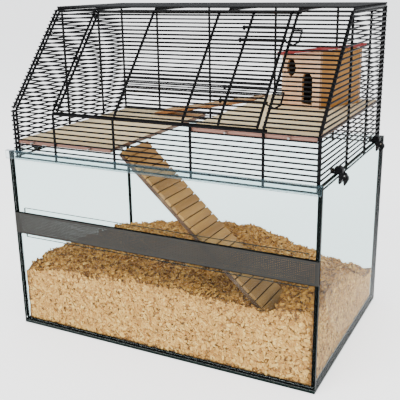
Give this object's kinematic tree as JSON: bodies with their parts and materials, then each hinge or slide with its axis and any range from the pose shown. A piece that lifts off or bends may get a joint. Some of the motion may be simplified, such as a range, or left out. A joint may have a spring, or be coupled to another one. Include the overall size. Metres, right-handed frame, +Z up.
{
  "type": "hamster cage",
  "caption": "Glass tank with a vent band and shavings, under a black wire cage with a sloped hinged door, shelves, ramps and a wooden house.",
  "frame": {"origin": "centre of the tank's underside, where it stands", "axes": "+Z up, +X to the right along the tank's long side, +Y to the back; the sloped door and the vent band face -Y"},
  "size_m": [0.6308, 0.4015, 0.6026],
  "materials": {
    "glass": "clear float glass, pale green at the edges",
    "sealant": "black silicone sealant",
    "clear_plastic": "clear extruded plastic",
    "vent_sheet": "dark perforated sheet",
    "black_wire": "gloss black coated steel wire",
    "shelf_wood": "pale plywood, bare",
    "ladder_wood": "bare wood slats",
    "house_wood": "bare plywood",
    "red_wood": "red stained wood",
    "steel_wire": "plain steel wire and pins",
    "black_plastic": "black moulded plastic",
    "shavings": "loose soft wood shavings"
  },
  "bodies": {
    "tank": {"base_seals": "sealant", "bedding": "shavings", "corner_seals": "sealant", "floor_pane": "glass", "front_lower_pane": "glass", "front_rim_profile": "clear_plastic", "front_upper_pane": "glass", "left_pane": "glass", "lower_band_seal": "sealant", "lower_strip": "glass", "rear_pane": "glass", "right_pane": "glass", "upper_band_seal": "sealant", "upper_strip": "glass", "vent_band": "vent_sheet"},
    "door": {"door_grille": "black_wire", "door_hinge_rings": "black_wire"},
    "upper_latch": {"upper_latch": "black_wire"},
    "lower_latch": {"lower_latch": "black_wire"},
    "ladder": {"ladder_slats": "ladder_wood", "ladder_rails": "ladder_wood", "ladder_hooks": "steel_wire"},
    "ramp": {"ramp_board": "shelf_wood", "ramp_hooks": "steel_wire"},
    "house": {"house_far_wall": "house_wood", "house_front_wall": "house_wood", "house_near_wall": "house_wood", "house_rear_wall": "house_wood"},
    "house_roof": {"house_roof": "red_wood"},
    "clip_lever_front_left": {"clip_lever_front_left": "black_plastic"},
    "clip_lever_front_right": {"clip_lever_front_right": "black_plastic"},
    "clip_lever_rear_left": {"clip_lever_rear_left": "black_plastic"},
    "clip_lever_rear_right": {"clip_lever_rear_right": "black_plastic"},
    "cage": {"clip_body_front_left": "black_plastic", "clip_body_front_right": "black_plastic", "clip_body_rear_left": "black_plastic", "clip_body_rear_right": "black_plastic", "clip_pins": "steel_wire", "door_head_bar": "black_wire", "door_sill_bar": "black_wire", "front_grille": "black_wire", "high_shelf": "shelf_wood", "high_shelf_pins": "steel_wire", "ladder_staples": "steel_wire", "left_grille": "black_wire", "left_slope_grille": "black_wire", "low_shelf": "shelf_wood", "low_shelf_pins": "steel_wire", "ramp_staples": "steel_wire", "rear_grille": "black_wire", "right_grille": "black_wire", "right_slope_grille": "black_wire", "roof_grille": "black_wire"}
  },
  "joints": [
    {"name": "cage_lift", "type": "slide", "parent": "tank", "child": "cage", "axis": [0, 0, 1], "range_m": [0, 0.15]},
    {"name": "door_hinge", "type": "hinge", "parent": "cage", "child": "door", "pos_m": [-0.2005, -0.18874, 0.42544], "axis": [0, -0.6604, -0.7509], "range_deg": [0, 95]},
    {"name": "upper_latch_slide", "type": "slide", "parent": "door", "child": "upper_latch", "axis": [-1, 0, 0], "range_m": [0, 0.026]},
    {"name": "lower_latch_slide", "type": "slide", "parent": "door", "child": "lower_latch", "axis": [-1, 0, 0], "range_m": [0, 0.026]},
    {"name": "ladder_hinge", "type": "hinge", "parent": "cage", "child": "ladder", "pos_m": [-0.0795, -0.1285, 0.367], "axis": [0, -1, 0], "range_deg": [0, 22]},
    {"name": "ramp_hinge", "type": "hinge", "parent": "cage", "child": "ramp", "pos_m": [0.0665, 0.152, 0.4183], "axis": [0, 1, 0], "range_deg": [0, 45]},
    {"name": "house_lift", "type": "slide", "parent": "cage", "child": "house", "axis": [0, 0, 1], "range_m": [0, 0.03]},
    {"name": "roof_lift", "type": "slide", "parent": "house", "child": "house_roof", "axis": [0, 0, 1], "range_m": [0, 0.025]},
    {"name": "front_left_lever", "type": "hinge", "parent": "cage", "child": "clip_lever_front_left", "pos_m": [-0.3098, -0.112, 0.3485], "axis": [0, 1, 0], "range_deg": [0, 75]},
    {"name": "front_right_lever", "type": "hinge", "parent": "cage", "child": "clip_lever_front_right", "pos_m": [0.3098, -0.112, 0.3485], "axis": [0, -1, 0], "range_deg": [0, 75]},
    {"name": "rear_left_lever", "type": "hinge", "parent": "cage", "child": "clip_lever_rear_left", "pos_m": [-0.3098, 0.135, 0.3485], "axis": [0, 1, 0], "range_deg": [0, 75]},
    {"name": "rear_right_lever", "type": "hinge", "parent": "cage", "child": "clip_lever_rear_right", "pos_m": [0.3098, 0.135, 0.3485], "axis": [0, -1, 0], "range_deg": [0, 75]}
  ]
}
